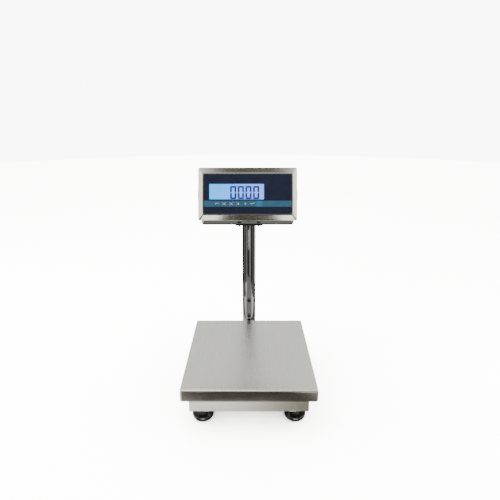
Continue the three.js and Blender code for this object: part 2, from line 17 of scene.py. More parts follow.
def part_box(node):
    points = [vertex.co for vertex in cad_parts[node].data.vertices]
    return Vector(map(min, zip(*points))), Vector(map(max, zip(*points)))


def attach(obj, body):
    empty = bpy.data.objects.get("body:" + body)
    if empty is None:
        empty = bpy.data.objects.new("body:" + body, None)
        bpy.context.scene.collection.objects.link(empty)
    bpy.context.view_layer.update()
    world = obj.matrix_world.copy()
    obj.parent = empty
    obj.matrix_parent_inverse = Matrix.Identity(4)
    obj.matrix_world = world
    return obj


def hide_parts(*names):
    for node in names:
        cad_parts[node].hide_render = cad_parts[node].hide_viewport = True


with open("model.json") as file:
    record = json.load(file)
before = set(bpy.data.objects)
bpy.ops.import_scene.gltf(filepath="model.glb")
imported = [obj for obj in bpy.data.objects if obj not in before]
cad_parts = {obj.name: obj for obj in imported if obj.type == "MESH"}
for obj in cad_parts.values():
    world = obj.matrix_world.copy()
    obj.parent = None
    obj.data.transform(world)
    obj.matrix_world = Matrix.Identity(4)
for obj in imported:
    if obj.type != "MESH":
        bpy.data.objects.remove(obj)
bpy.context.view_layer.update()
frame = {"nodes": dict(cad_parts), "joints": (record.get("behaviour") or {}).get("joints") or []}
MM = 0.001
SIDES = (("left", -1), ("right", 1))
CORNERS = ("front_left", "front_right", "rear_left", "rear_right")
KEY_COUNT = 6
joints = {joint["name"]: joint for joint in frame["joints"]}

# ---- geometry


def mm(*numbers):
    """Millimetres as metres."""
    return tuple(number * MM for number in numbers)


def extent(node):
    """A CAD node's box: its low and high corners, its middle and half its size."""
    low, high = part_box(node)
    return low, high, (low + high) / 2, (high - low) / 2


def centre_of(node):
    """The middle of a CAD node's box."""
    return extent(node)[2]


def filleted(points, steps=4, closed=True):
    """An outline whose corners, given as (x, y, radius), are turned into arcs."""
    out = []
    count = len(points)
    for index, (x, y, radius) in enumerate(points):
        here = Vector((x, y))
        at_end = not closed and index in (0, count - 1)
        if radius <= 0 or at_end:
            out.append((x, y))
            continue
        before = Vector(points[index - 1][:2]) - here
        after = Vector(points[(index + 1) % count][:2]) - here
        before.normalize()
        after.normalize()
        half = before.angle(after) / 2
        reach = radius / math.tan(half)
        middle = here + (before + after).normalized() * radius / math.sin(half)
        start = here + before * reach - middle
        sweep = start.angle_signed(here + after * reach - middle)
        for step in range(steps + 1):
            turn = Matrix.Rotation(-sweep * step / steps, 2)
            spot = middle + turn @ start
            out.append((spot.x, spot.y))
    return out


def rectangle(half_width, half_height, radius, steps=5, centre=(0, 0)):
    """A rounded rectangle, counter-clockwise."""
    x, y = centre
    signs = ((-1, -1), (1, -1), (1, 1), (-1, 1))
    return filleted([(x + a * half_width, y + b * half_height, radius) for a, b in signs], steps)


def polar(radius, turn, centre=(0, 0)):
    """The point at a distance and an angle from a centre."""
    return centre[0] + radius * math.cos(turn), centre[1] + radius * math.sin(turn)


def circle(radius, count=48, centre=(0, 0), start=0.0):
    """A circle or regular polygon, counter-clockwise."""
    return [polar(radius, start + 2 * math.pi * step / count, centre) for step in range(count)]


def stitch(bm, rings):
    """Faces between neighbouring rings of vertices, where a ring of one vertex is a tip."""
    count = max(len(ring) for ring in rings)
    for lower, upper in zip(rings, rings[1:]):
        for step in range(count):
            after = (step + 1) % count
            corners = (
                lower[step % len(lower)], lower[after % len(lower)],
                upper[after % len(upper)], upper[step % len(upper)],
            )
            face = list(dict.fromkeys(corners))
            if len(face) > 2:
                bm.faces.new(face)


def skin(rings):
    """A closed solid through rings of equally many points, with flat ends."""
    bm = bmesh.new()
    rows = [[bm.verts.new(spot) for spot in ring] for ring in rings]
    stitch(bm, rows)
    bm.faces.new(rows[0][::-1])
    bm.faces.new(rows[-1])
    return bm


def loft(levels):
    """A closed solid through outlines stacked up Z, given as (height, outline) pairs."""
    return skin([[(x, y, z) for x, y in outline] for z, outline in levels])


def prism(outline, low, high):
    """A closed solid between two copies of an outline, along Z."""
    return loft([(low, outline), (high, outline)])


def folded_levels(low, high, half, bend, corners, steps):
    """Levels of a folded sheet cover: upright sides that bend over into a flat top."""
    foot_corner, corner = corners
    levels = [(low, rectangle(half.x, half.y, foot_corner, 6))]
    for step in range(steps + 1):
        turn = math.pi / 2 * step / steps
        inset = bend * (1 - math.cos(turn))
        outline = rectangle(half.x - inset, half.y - inset, corner - inset, 6)
        levels.append((high - bend + bend * math.sin(turn), outline))
    return levels


def lathe(profile, segments=72):
    """A solid turned about Z from (radius, height) points; repeating the first point closes a ring."""
    bm = bmesh.new()
    closed = profile[0] == profile[-1]
    rings = []
    for radius, height in profile[:-1] if closed else profile:
        outline = circle(radius, segments) if radius > 1e-7 else [(0, 0)]
        rings.append([bm.verts.new((x, y, height)) for x, y in outline])
    stitch(bm, [*rings, rings[0]] if closed else rings)
    return bm


def turned(points, steps, segments):
    """A solid turned about Z from (radius, height, fillet) points, in millimetres."""
    return lathe(filleted([mm(*point) for point in points], steps, closed=False), segments)


def along_x(bm):
    bmesh.ops.transform(bm, matrix=Matrix.Rotation(math.pi / 2, 4, "Y"), verts=bm.verts)
    return bm


def along_y(bm):
    bmesh.ops.transform(bm, matrix=Matrix.Rotation(-math.pi / 2, 4, "X"), verts=bm.verts)
    return bm


def moved(bm, place):
    bmesh.ops.translate(bm, vec=Vector(place), verts=bm.verts)
    return bm


def bar(along, half, corner, steps, reach):
    """A bar with rounded long edges along X or Y, from half its cross-section and half its length."""
    if along == "X":
        return along_x(prism(rectangle(half.z, half.y, corner, steps), -reach, reach))
    return along_y(prism(rectangle(half.x, half.z, corner, steps), -reach, reach))


def round_hole(radius, low, high, place=(0, 0), segments=32):
    """An upright round bar between two heights, mostly to bore with."""
    return prism(circle(radius, segments, place), low, high)


def at(x, y, z=0):
    """A place without any turn."""
    return Matrix.Translation((x, y, z))


def mesh_object(name, bm):
    mesh = bpy.data.meshes.new(name)
    bmesh.ops.recalc_face_normals(bm, faces=bm.faces)
    bm.to_mesh(mesh)
    bm.free()
    obj = bpy.data.objects.new(name, mesh)
    bpy.context.scene.collection.objects.link(obj)
    return obj


def joined(name, solids):
    """One mesh object holding several separate closed solids."""
    whole = bmesh.new()
    for solid in solids:
        bmesh.ops.recalc_face_normals(solid, faces=solid.faces)
        mesh = bpy.data.meshes.new("part")
        solid.to_mesh(mesh)
        solid.free()
        whole.from_mesh(mesh)
        bpy.data.meshes.remove(mesh)
    return mesh_object(name, whole)


def apply_modifiers(obj):
    bpy.context.view_layer.update()
    graph = bpy.context.evaluated_depsgraph_get()
    made = bpy.data.meshes.new_from_object(obj.evaluated_get(graph))
    old = obj.data
    obj.modifiers.clear()
    obj.data = made
    bpy.data.meshes.remove(old)
    made.name = obj.name


def combine(obj, tools, operation="DIFFERENCE"):
    """Cuts obj by the tool solids, joins them to it or keeps what they share."""
    helpers = [mesh_object("tool", bm) for bm in tools]
    for helper in helpers:
        modifier = obj.modifiers.new("bool", "BOOLEAN")
        modifier.operation = operation
        modifier.solver = "EXACT"
        modifier.object = helper
    apply_modifiers(obj)
    for helper in helpers:
        mesh = helper.data
        bpy.data.objects.remove(helper)
        bpy.data.meshes.remove(mesh)


def soften(obj, width, segments=3, angle=30):
    """Rounds every edge sharper than the angle."""
    modifier = obj.modifiers.new("bevel", "BEVEL")
    modifier.width = width
    modifier.segments = segments
    modifier.limit_method = "ANGLE"
    modifier.angle_limit = math.radians(angle)
    modifier.use_clamp_overlap = True
    apply_modifiers(obj)


def box_unwrap(mesh):
    """Lays each face flat along its main direction, in metres, so grain has a direction."""
    layer = mesh.uv_layers.new(name="grain")
    planes = {0: (1, 2), 1: (0, 2), 2: (0, 1)}
    for polygon in mesh.polygons:
        main = max(range(3), key=lambda axis: abs(polygon.normal[axis]))
        across, up = planes[main]
        for loop in polygon.loop_indices:
            spot = mesh.vertices[mesh.loops[loop].vertex_index].co
            layer.data[loop].uv = (spot[across], spot[up])


def finish_piece(obj, finish, body, node=None, place=None, smooth=35):
    """Shades, paints and hands one finished piece to the frame."""
    obj.data.shade_smooth()
    obj.data.set_sharp_from_angle(angle=math.radians(smooth))
    flats = obj.modifiers.new("flats", "WEIGHTED_NORMAL")
    flats.keep_sharp = True
    apply_modifiers(obj)
    box_unwrap(obj.data)
    obj.data.materials.clear()
    obj.data.materials.append(MATERIALS[finish])
    if place is not None:
        obj.matrix_world = place
    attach(obj, body)
    if node:
        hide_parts(node)


# ---- materials


class Nodes:
    """A short way to write a node tree."""

    def __init__(self, owner, output="ShaderNodeOutputMaterial"):
        owner.use_nodes = True
        self.owner = owner
        self.tree = owner.node_tree
        self.tree.nodes.clear()
        self.output = self.add(output)

    def add(self, kind, **settings):
        node = self.tree.nodes.new(kind)
        for key, value in settings.items():
            setattr(node, key, value)
        return node

    def feed(self, socket, value):
        """Links a socket to another, or sets its number or colour."""
        if isinstance(value, bpy.types.NodeSocket):
            self.tree.links.new(value, socket)
        elif isinstance(value, tuple):
            socket.default_value = (*value, 1)
        else:
            socket.default_value = value

    def noise(self, stretch, detail=3.0, roughness=0.5):
        """Noise over the object's own coordinates, stretched on each axis."""
        coordinates = self.add("ShaderNodeTexCoord")
        mapping = self.add("ShaderNodeMapping")
        mapping.inputs["Scale"].default_value = stretch if isinstance(stretch, tuple) else (stretch,) * 3
        texture = self.add("ShaderNodeTexNoise")
        self.feed(texture.inputs["Scale"], 1.0)
        self.feed(texture.inputs["Detail"], detail)
        self.feed(texture.inputs["Roughness"], roughness)
        self.feed(mapping.inputs["Vector"], coordinates.outputs["Object"])
        self.feed(texture.inputs["Vector"], mapping.outputs["Vector"])
        return texture.outputs["Fac"]

    def axes(self, space="Object"):
        """The X, Y and Z of a set of texture coordinates."""
        coordinates = self.add("ShaderNodeTexCoord")
        split = self.add("ShaderNodeSeparateXYZ")
        self.feed(split.inputs["Vector"], coordinates.outputs[space])
        return split.outputs["X"], split.outputs["Y"], split.outputs["Z"]

    def remap(self, value, low, high, start=0.3, end=0.7, kind="LINEAR"):
        """Stretches a value's start-to-end band over low to high."""
        node = self.add("ShaderNodeMapRange", interpolation_type=kind)
        for socket, number in (("From Min", start), ("From Max", end), ("To Min", low), ("To Max", high)):
            self.feed(node.inputs[socket], number)
        self.feed(node.inputs["Value"], value)
        return node.outputs["Result"]

    def ease(self, value, start, end):
        """An eased 0 to 1 as the value goes from start to end."""
        return self.remap(value, 0, 1, start, end, "SMOOTHSTEP")

    def between(self, value, low, high, soft):
        """1 between two limits, easing to 0 outside them."""
        return self.times(self.ease(value, low - soft, low), self.ease(value, high + soft, high))

    def math(self, operation, first, second=0.0):
        node = self.add("ShaderNodeMath", operation=operation)
        self.feed(node.inputs[0], first)
        self.feed(node.inputs[1], second)
        return node.outputs["Value"]

    def plus(self, first, second):
        return self.math("ADD", first, second)

    def times(self, first, second):
        return self.math("MULTIPLY", first, second)

    def distance(self, first, second):
        """How far two numbers at right angles lie from zero."""
        return self.math("SQRT", self.plus(self.times(first, first), self.times(second, second)))

    def mix(self, factor, first, second):
        """A blend of two colours, each linked or fixed."""
        node = self.add("ShaderNodeMix", data_type="RGBA")
        self.feed(node.inputs["Factor"], factor)
        self.feed(node.inputs["A"], first)
        self.feed(node.inputs["B"], second)
        return node.outputs["Result"]

    def brightened(self, color, value):
        """A colour with its brightness multiplied by a texture."""
        tone = self.add("ShaderNodeHueSaturation")
        self.feed(tone.inputs["Value"], value)
        self.feed(tone.inputs["Color"], color)
        return tone.outputs["Color"]

    def bump(self, height, distance):
        node = self.add("ShaderNodeBump")
        self.feed(node.inputs["Distance"], distance)
        self.feed(node.inputs["Height"], height)
        return node.outputs["Normal"]

    def principled(self, color, roughness, normal=None, **numbers):
        """The surface shader. Linked inputs are textures, numbers are the same all over."""
        shader = self.add("ShaderNodeBsdfPrincipled")
        for name, value in numbers.items():
            shader.inputs[name.replace("_", " ")].default_value = value
        self.feed(shader.inputs["Base Color"], color)
        self.feed(shader.inputs["Roughness"], roughness)
        if normal is not None:
            self.feed(shader.inputs["Normal"], normal)
        self.feed(self.output.inputs["Surface"], shader.outputs["BSDF"])
        return shader


def new_material(name):
    return Nodes(bpy.data.materials.new(name))


def shade(value):
    """An 8-bit display colour as linear light."""
    def linear(channel):
        channel = channel / 255
        return channel / 12.92 if channel <= 0.04045 else ((channel + 0.055) / 1.055) ** 2.4
    return tuple(linear(channel) for channel in value)


def brushed_steel(name, light, dark, roughness, grain, anisotropic, **numbers):
    """Stainless sheet with a straight brushed grain, faint clouds and handling marks."""
    nodes = new_material(name)
    fine = nodes.noise(grain, 2.0)
    broad = nodes.noise(tuple(value * 0.35 for value in grain))
    cloud = nodes.noise(9, 4.0, 0.6)
    streak = nodes.plus(nodes.remap(fine, 0, 0.6), nodes.remap(broad, 0, 0.25))
    color = nodes.mix(nodes.plus(streak, nodes.remap(cloud, 0, 0.15)), shade(dark), shade(light))
    grooves = nodes.remap(streak, roughness - 0.03, roughness + 0.04, 0.2, 0.8)
    rough = nodes.plus(grooves, nodes.remap(cloud, -0.02, 0.04))
    normal = nodes.bump(streak, 0.01 * MM)
    shader = nodes.principled(color, rough, normal, Metallic=1.0, Anisotropic=anisotropic, **numbers)
    tangent = nodes.add("ShaderNodeTangent", direction_type="UV_MAP", uv_map="grain")
    nodes.feed(shader.inputs["Tangent"], tangent.outputs["Tangent"])
    return nodes.owner


def polished_steel(name):
    """Mirror-polished tube with faint lengthwise drawing lines and wipe marks."""
    nodes = new_material(name)
    lines = nodes.noise((500, 500, 3), 2.0)
    wipes = nodes.noise((60, 60, 18), 4.0, 0.6)
    color = nodes.mix(nodes.remap(lines, 0, 1), shade((142, 142, 145)), shade((160, 160, 162)))
    rough = nodes.plus(nodes.remap(lines, 0.03, 0.06), nodes.remap(wipes, 0.0, 0.05, 0.45, 0.75))
    nodes.principled(color, rough, nodes.bump(lines, 0.003 * MM), Metallic=1.0)
    return nodes.owner


def plated_steel(name, light=(176, 178, 182), dark=(140, 143, 148), roughness=0.28):
    """Bright plated fasteners and machined bars, slightly mottled."""
    nodes = new_material(name)
    mottle = nodes.noise(260, 5.0, 0.65)
    color = nodes.mix(nodes.remap(mottle, 0, 1), shade(dark), shade(light))
    rough = nodes.remap(mottle, roughness - 0.06, roughness + 0.1)
    nodes.principled(color, rough, nodes.bump(mottle, 0.03 * MM), Metallic=1.0)
    return nodes.owner


def moulded(name, light, dark, roughness, grain=900, depth=0.03 * MM, **numbers):
    """Moulded plastic or rubber: a fine surface texture and a little dust."""
    nodes = new_material(name)
    texture = nodes.noise(grain, 2.0)
    dust = nodes.noise(45, 5.0, 0.6)
    color = nodes.mix(nodes.remap(dust, 0, 1, 0.4, 0.8), shade(dark), shade(light))
    rough = nodes.plus(nodes.remap(dust, roughness - 0.03, roughness + 0.08), nodes.remap(texture, 0.0, 0.03))
    nodes.principled(color, rough, nodes.bump(texture, depth), **numbers)
    return nodes.owner


def teal_band(name):
    """Printed teal stripe with a brighter turquoise field to the right of the keys."""
    nodes = new_material(name)
    across = nodes.axes()[0]
    rise = nodes.remap(across, 0, 1, *mm(20, 24))
    fall = nodes.remap(across, 0, 1, *mm(40, 36))
    base = nodes.mix(nodes.times(rise, fall), shade((40, 88, 116)), shade((30, 112, 142)))
    dust = nodes.noise(45, 5.0, 0.6)
    texture = nodes.noise(1600, 2.0)
    color = nodes.brightened(base, nodes.remap(dust, 0.92, 1.06))
    rough = nodes.remap(dust, 0.34, 0.42)
    normal = nodes.bump(texture, 0.01 * MM)
    nodes.principled(color, rough, normal, Coat_Weight=0.15, Coat_Roughness=0.2)
    return nodes.owner


def lit_display(name):
    """Backlit liquid crystal: cyan at the lamp end, lavender behind the digits, fine cells."""
    nodes = new_material(name)
    across = nodes.remap(nodes.axes()[0], 0, 1, *mm(-85, 10))
    cells = nodes.noise(700, 1.0)
    mixed = nodes.plus(across, nodes.remap(nodes.noise(40), -0.2, 0.2))
    base = nodes.mix(mixed, shade((52, 166, 244)), shade((108, 148, 255)))
    color = nodes.brightened(base, nodes.remap(cells, 0.94, 1.05))
    rough = nodes.remap(cells, 0.2, 0.3)
    shader = nodes.principled(color, rough, Emission_Strength=1.15, Specular_IOR_Level=0.15)
    nodes.feed(shader.inputs["Emission Color"], color)
    return nodes.owner


GLOSS = {"Coat_Weight": 1.0, "Coat_Roughness": 0.03}
FILM = {"Coat_Weight": 0.08, "Coat_Roughness": 0.2, "Specular_IOR_Level": 0.3}


# Light and dark tint, roughness, grain along each axis and how far it stretches highlights.
BRUSHED = {
    "satin": ((214, 214, 208), (198, 198, 191), 0.27, (900, 14, 900), 0.5),
    # The tray's upright faces: a smoother copy of the tray steel whose darker tint is painted shade.
    "skirt": ((206, 205, 200), (190, 188, 182), 0.13, (10, 900, 900), 0.3),
    "bezel": ((236, 234, 226), (218, 216, 206), 0.1, (10, 1200, 1200), 0.2),
    "rear": ((218, 217, 210), (194, 193, 185), 0.3, (10, 1000, 1000), 0.5),
    "base": ((222, 222, 214), (204, 204, 195), 0.2, (10, 700, 700), 0.3),
}
# A darker steel that is painted shade, for the bracket's cut edges and upper faces.
PAINTED_SHADE_STEEL = ((74, 74, 72), (58, 58, 56), 0.24, (10, 1000, 1000), 0.5)
MATERIALS = {
    **{finish: brushed_steel(f"{finish}_brushed_steel", *look) for finish, look in BRUSHED.items()},
    # Painted shade: the darker steel for faces that face up, front or back.
    "painted_shade": brushed_steel("painted_shade_brushed_steel", *PAINTED_SHADE_STEEL, Specular_Tint=(0.62, 0.62, 0.6, 1.0)),
    "polished": polished_steel("polished_steel"),
    "plated": plated_steel("plated_steel"),
    "aluminium": plated_steel("machined_aluminium", (206, 208, 210), (184, 186, 190), 0.33),
    "foot": moulded(
        "foot_rubber", (24, 23, 23), (12, 12, 12), 0.2, 500, 0.02 * MM, Coat_Weight=1.0, Coat_Roughness=0.07,
    ),
    "rubber": moulded("matt_rubber", (38, 38, 38), (22, 22, 22), 0.6),
    "black": moulded("black_plastic", (30, 31, 33), (16, 17, 19), 0.32),
    "navy": moulded("navy_film", (14, 26, 52), (10, 20, 44), 0.4, 1600, 0.01 * MM, **FILM),
    "teal": teal_band("teal_film"),
    "ink": moulded("white_ink", (226, 236, 238), (204, 216, 220), 0.45),
    "digit": moulded("display_digit", (26, 20, 92), (20, 14, 80), 0.5),
    "display": lit_display("lit_display"),
    "board": moulded("circuit_board", (36, 104, 66), (22, 78, 48), 0.4),
    "battery": moulded("battery_case", (58, 61, 66), (44, 47, 52), 0.45),
    "bubble": moulded("vial_bubble", (244, 248, 232), (232, 240, 214), 0.08, **GLOSS),
    "liquid": moulded("vial_liquid", (196, 220, 96), (170, 200, 74), 0.12, **GLOSS),
}

# ---- camera, set


def make_camera():
    tray_low, tray_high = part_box("load_tray")
    data = bpy.data.cameras.new("camera")
    data.sensor_width = 36
    data.lens = 28.3
    data.shift_x = 0.002
    data.shift_y = -0.0724
    data.dof.use_dof = False
    camera = bpy.data.objects.new("camera", data)
    camera.location = (0, tray_low.y - 0.7322, tray_high.z + 0.5815)
    camera.rotation_euler = (math.radians(90 - 14.2), 0, 0)
    bpy.context.scene.collection.objects.link(camera)
    bpy.context.scene.camera = camera


# Colours of the floor's painted reflection, seen only by glossy rays: painted dark cards, pale gaps, painted
# highlights and painted shade.
PAINTED_REFLECTION_DARK = (0.05, 0.047, 0.041)
PAINTED_REFLECTION_PALE = (1.05, 1.04, 1.0)
# Painted reflection darkening and painted shade near the base.
PAINTED_REFLECTION_OLIVE = (0.2, 0.205, 0.165)
FLOOR_SHADE = (0.14, 0.137, 0.128)
# Painted highlight in the floor's reflection.
PAINTED_REFLECTION_HIGHLIGHT = (1.35, 1.33, 1.26)
# Painted shadow under each foot and painted highlight strips beside it, in the floor's reflection.
FOOT_SHADOW = (0.15, 0.145, 0.14)
FOOT_PAINTED_HIGHLIGHT = (9.0, 9.0, 8.7)
# Pale gaps painted between the dark cards of the floor's painted reflection: direction seen from the column
# and half width in degrees, and strength.
PAINTED_REFLECTION_GAPS = (
    (-172, 8, 1.0), (-76, 5, 0.2), (-38.5, 3.5, 0.5), (18, 3.2, 0.8), (62, 4, 0.12), (112, 11, 1.2),
    (165, 15, 1.0),
)
# Where each part of the floor's painted reflection fades in, in metres. Radii are from the column.
NEAR_END_RADIUS = (0.47, 0.52)
BRIGHT_RADII = (0.94, 1.26)
BRIGHT_ASIDE = (0.148, 0.168)
BRIGHT_TURN = math.radians(15)
PAINTED_CARD_ASIDE = (0.125, 0.36)
PAINTED_CARD_AHEAD = (0.078, 0.092)
OLIVE_X = (-0.08, 0.15)
SHADE_Y = (-0.12, -0.02)
SHADE_ASIDE = (0.17, 0.23)


def foot_reflection(nodes, color, x, y):
    """Under each foot the floor's reflection has a painted shadow, with a small painted highlight strip at
    its front and back.
    """
    front = centre_of("foot_pad_front_right")
    rear = centre_of("foot_pad_rear_right")
    middle = (front.y + rear.y) / 2
    from_x = nodes.math("ABSOLUTE", nodes.math("SUBTRACT", nodes.math("ABSOLUTE", x), front.x))
    from_middle = nodes.math("ABSOLUTE", nodes.math("SUBTRACT", y, middle))
    from_y = nodes.math("ABSOLUTE", nodes.math("SUBTRACT", from_middle, rear.y - middle))
    radial = nodes.distance(from_x, from_y)
    disc = nodes.ease(radial, *mm(56, 50))
    narrow = nodes.ease(from_x, *mm(13, 9))
    strip = nodes.times(nodes.between(radial, *mm(40, 44, 1)), narrow)
    return nodes.mix(strip, nodes.mix(disc, color, FOOT_SHADOW), FOOT_PAINTED_HIGHLIGHT)


def floor_reflection(nodes):
    """The floor as shiny steel sees it, a painted reflection: pale round the base, painted dark cards with
    gaps beyond it.
    """
    tray_low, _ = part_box("load_tray")
    x, y, _ = nodes.axes()
    behind = nodes.math("SUBTRACT", y, centre_of("column_tube").y)
    turn = nodes.math("ARCTAN2", x, nodes.times(behind, -1))
    radius = nodes.distance(x, behind)
    aside = nodes.math("ABSOLUTE", x)

    # A painted dark card in the floor's reflection, turning pale far to each side.
    painted_card = nodes.mix(nodes.ease(aside, *PAINTED_CARD_ASIDE), PAINTED_REFLECTION_DARK, PAINTED_REFLECTION_PALE)
    soft = math.radians(2)
    # Beyond the base: painted dark cards with painted pale gaps between them.
    lines = 0.0
    for centre, half_width, level in PAINTED_REFLECTION_GAPS:
        low, high = math.radians(centre - half_width), math.radians(centre + half_width)
        line = nodes.between(turn, low, high, soft)
        lines = nodes.math("MAXIMUM", nodes.times(line, level), lines)
    far = nodes.mix(lines, PAINTED_REFLECTION_DARK, PAINTED_REFLECTION_PALE)
    # A painted highlight: a bright patch in the floor's reflection, ahead of the column and off to each side.
    ahead = nodes.between(turn, -BRIGHT_TURN, BRIGHT_TURN, soft)
    ends = nodes.times(nodes.ease(aside, *BRIGHT_ASIDE), ahead)
    patch = nodes.times(ends, nodes.between(radius, *BRIGHT_RADII, 0.04))
    far = nodes.mix(patch, far, PAINTED_REFLECTION_HIGHLIGHT)

    # Painted reflection near the base: pale, darkening to olive towards +X, with painted shade at the sides
    # towards the back.
    near = nodes.mix(nodes.ease(x, *OLIVE_X), PAINTED_REFLECTION_PALE, PAINTED_REFLECTION_OLIVE)
    beside = nodes.times(nodes.ease(y, *SHADE_Y), nodes.ease(aside, *SHADE_ASIDE))
    near = nodes.mix(beside, near, FLOOR_SHADE)
    in_painted_card = nodes.ease(nodes.times(y, -1), *(distance - tray_low.y for distance in PAINTED_CARD_AHEAD))
    near = foot_reflection(nodes, nodes.mix(in_painted_card, near, painted_card), x, y)
    return nodes.mix(nodes.ease(radius, *NEAR_END_RADIUS), near, far)


def make_floor():
    """Pale floor: white to the camera, moderately lit for what it bounces, and a painted reflection for
    glossy rays.
    """
    floor = mesh_object("floor", prism(circle(6, 96), -0.01, 0))
    nodes = new_material("floor")
    haze = nodes.noise(2, 2.0)
    seen = nodes.mix(haze, (7.5, 7.5, 7.5), (7.8, 7.8, 7.8))
    bounced = nodes.mix(haze, (0.62, 0.62, 0.61), (0.66, 0.66, 0.65))
    path = nodes.add("ShaderNodeLightPath")
    lit = nodes.mix(path.outputs["Is Glossy Ray"], bounced, floor_reflection(nodes))
    color = nodes.mix(path.outputs["Is Camera Ray"], lit, seen)
    diffuse = nodes.add("ShaderNodeBsdfDiffuse")
    nodes.feed(diffuse.inputs["Color"], color)
    nodes.feed(nodes.output.inputs["Surface"], diffuse.outputs["BSDF"])
    floor.data.materials.append(nodes.owner)


def area_light(name, place, target, size, power):
    data = bpy.data.lights.new(name, "AREA")
    data.shape = "RECTANGLE"
    data.size, data.size_y = size
    data.energy = power
    light = bpy.data.objects.new(name, data)
    light.location = place
    aim = Vector(target) - Vector(place)
    light.rotation_euler = aim.to_track_quat("-Z", "Y").to_euler()
    bpy.context.scene.collection.objects.link(light)


# The world's dark gap behind the camera, as heights and sideways distances on the unit sphere.
LOW_GAP = ((0.40, 0.36), (0.46, 0.34))
HIGH_GAP = ((0.64, 0.70), (0.125, 0.085))
FLANK_GAPS = ((0.42, 0.62, 0.02), (0.2, 0.5, 0.04))
FLANK_STRENGTH = 0.7
SIDE_WALLS = (0.42, 0.62)
FRONT_WALL = (-0.2, -0.4)


def make_lights():
    """Soft boxes overhead and at both sides, and a white room with a dark gap behind the camera."""
    area_light("key_softbox", (-0.6, 0.3, 2.3), (0, 0, 0.1), (1.5, 1.5), 22)
    area_light("fill_right", (1.8, -0.4, 1.0), (0, 0, 0.3), (0.7, 1.6), 8)
    area_light("fill_left", (-1.8, -0.2, 0.9), (0, 0, 0.3), (0.6, 1.6), 8)
    world = bpy.data.worlds.new("studio")
    bpy.context.scene.world = world
    nodes = Nodes(world, "ShaderNodeOutputWorld")
    across, depth, height = nodes.axes("Generated")
    side = nodes.math("ABSOLUTE", across)
    front = nodes.ease(depth, *FRONT_WALL)
    low, high = (
        nodes.times(nodes.ease(height, *heights), nodes.ease(side, *sides))
        for heights, sides in (LOW_GAP, HIGH_GAP)
    )
    flanks = nodes.times(nodes.between(height, *FLANK_GAPS[0]), nodes.between(side, *FLANK_GAPS[1]))
    gap = nodes.math("MAXIMUM", nodes.math("MAXIMUM", low, high), nodes.times(flanks, FLANK_STRENGTH))
    walls = nodes.mix(nodes.ease(side, *SIDE_WALLS), (1.3, 1.3, 1.27), (1.95, 1.92, 1.84))
    room = nodes.mix(nodes.times(gap, front), walls, (0.13, 0.128, 0.12))
    path = nodes.add("ShaderNodeLightPath")
    background = nodes.add("ShaderNodeBackground")
    nodes.feed(background.inputs["Color"], nodes.mix(path.outputs["Is Camera Ray"], room, (9, 9, 9)))
    nodes.feed(nodes.output.inputs["Surface"], background.outputs["Background"])


make_camera()
make_floor()
make_lights()

# ---- platform


def make_tray():
    low, high, middle, half = extent("load_tray")
    sheet = 2 * MM
    corner = 5.4 * MM
    spot = (middle.x, middle.y, 0)
    levels = folded_levels(low.z, high.z, half, 4 * MM, (corner, corner), 8)
    tray = mesh_object("tray_sheet", moved(loft(levels), spot))
    inner = rectangle(half.x - sheet, half.y - sheet, corner - sheet, 4)
    combine(tray, [moved(prism(inner, low.z - 1 * MM, high.z - sheet), spot)])
    finish_piece(tray, "satin", "tray", "load_tray")
    # The upright faces take the skirt steel, whose darker tint is painted shade.
    tray.data.materials.append(MATERIALS["skirt"])
    for polygon in tray.data.polygons:
        polygon.material_index = 1 if abs(polygon.normal.z) < 0.5 else 0


def make_base_rails():
    corner = 3 * MM
    for name in ("front", "rear", "left", "right"):
        node = f"base_rail_{name}"
        low, high, middle, half = extent(node)
        along, reach = ("X", half.x) if name in ("front", "rear") else ("Y", half.y)
        rail = mesh_object(f"{node}_tube", moved(bar(along, half, corner, 6, reach), middle))
        holes = []
        for end in CORNERS:
            if end.startswith(name):
                stud = centre_of(f"foot_stud_{end}").xy
                stop = centre_of(f"overload_stop_{end}").xy
                holes.append(round_hole(5.5 * MM, low.z - 10 * MM, high.z - 2 * MM, stud))
                holes.append(round_hole(4.3 * MM, low.z + 2 * MM, high.z + 10 * MM, stop))
        if name == "rear":
            gland = centre_of("base_cable_gland")
            hole = along_y(round_hole(6.3 * MM, high.y - 3 * MM, high.y + 10 * MM, segments=40))
            holes.append(moved(hole, (gland.x, 0, gland.z)))
        if holes:
            combine(rail, holes)
        soften(rail, 0.5 * MM, 2, 60)
        finish_piece(rail, "base", "base", node)


def hexagon(flats):
    return circle(flats / math.sqrt(3), 6, start=math.pi / 6)


def hex_nut(name, flats, low, high, bore=0, chamfer=0.9 * MM):
    """A hexagon nut whose corners are turned off at both ends."""
    nut = mesh_object(name, prism(hexagon(flats), low, high))
    rim = flats / math.sqrt(3) * 1.01
    land = flats / 2 * 0.97
    over = 0.4 * MM
    tip = land - over * (rim - land) / chamfer
    crown = lathe([
        (0, low - over), (tip, low - over), (rim, low + chamfer),
        (rim, high - chamfer), (tip, high + over), (0, high + over),
    ], 96)
    combine(nut, [crown], "INTERSECT")
    if bore:
        combine(nut, [round_hole(bore, low - 1 * MM, high + 1 * MM, segments=48)])
    return nut


def threaded_rod(radius, low, high, pitch=1.5 * MM, segments=36, per_turn=8):
    """A rod with a true helical thread and pointed ends."""
    depth = 0.6 * pitch
    rows = int((high - low) / pitch * per_turn)
    rings = []
    for row in range(rows + 1):
        height = low + (high - low) * row / rows
        end = min(height - low, high - height)
        ring = []
        for step in range(segments):
            phase = (height / pitch - step / segments) % 1.0
            flank = depth * abs(2 * phase - 1)
            reach = min(radius - flank, radius - depth + end)
            ring.append((*polar(reach, 2 * math.pi * step / segments), height))
        rings.append(ring)
    return skin(rings)


